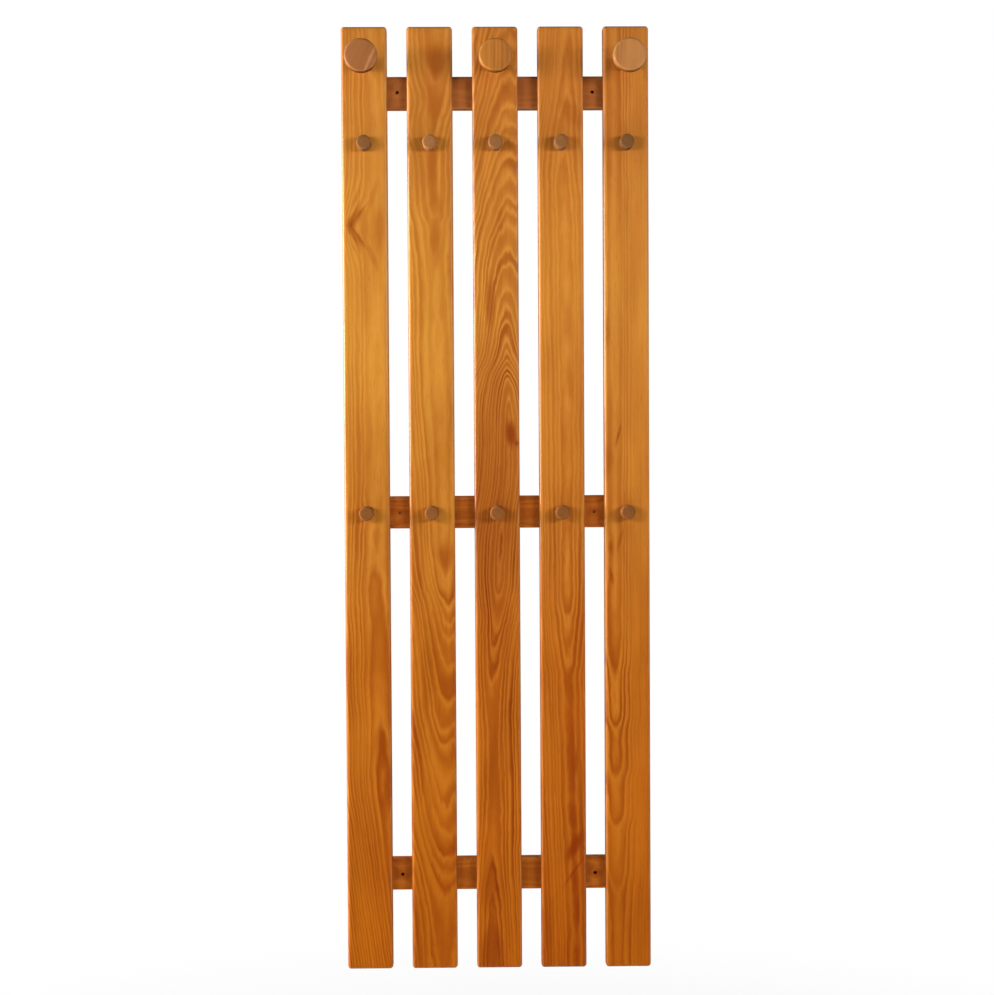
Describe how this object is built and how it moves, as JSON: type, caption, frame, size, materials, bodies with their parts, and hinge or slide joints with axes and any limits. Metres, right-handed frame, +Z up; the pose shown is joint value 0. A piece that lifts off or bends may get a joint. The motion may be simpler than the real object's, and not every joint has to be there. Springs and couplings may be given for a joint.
{
  "type": "coat rack",
  "caption": "Wall-hung slatted coat rack in pine: upright slats on cross rails, with short round coat pegs and disc-headed hat knobs.",
  "frame": {"origin": "on the wall plane, midway between the four outer wall screw holes", "axes": "+X to the viewer's right, +Y into the wall, +Z up"},
  "size_m": [0.47, 0.12, 1.45],
  "materials": {
    "slat_pine": "lacquered pine, satin",
    "rail_pine": "lacquered pine, satin",
    "peg_pine": "lacquered pine dowel with end grain on its face",
    "knob_pine": "lacquered pine, satin",
    "screw_steel": "zinc-plated wood screw"
  },
  "bodies": {
    "root": {"slat_1": "slat_pine", "slat_2": "slat_pine", "slat_3": "slat_pine", "slat_4": "slat_pine", "slat_5": "slat_pine", "upper_rail": "rail_pine", "middle_rail": "rail_pine", "lower_rail": "rail_pine", "upper_peg_1": "peg_pine", "upper_peg_2": "peg_pine", "upper_peg_3": "peg_pine", "upper_peg_4": "peg_pine", "upper_peg_5": "peg_pine", "middle_peg_1": "peg_pine", "middle_peg_2": "peg_pine", "middle_peg_3": "peg_pine", "middle_peg_4": "peg_pine", "middle_peg_5": "peg_pine", "hat_knob_1": "knob_pine", "hat_knob_2": "knob_pine", "hat_knob_3": "knob_pine", "hat_knob_stem_1": "knob_pine", "hat_knob_stem_2": "knob_pine", "hat_knob_stem_3": "knob_pine", "upper_rail_screws": "screw_steel", "middle_rail_screws": "screw_steel", "lower_rail_screws": "screw_steel"}
  },
  "joints": []
}
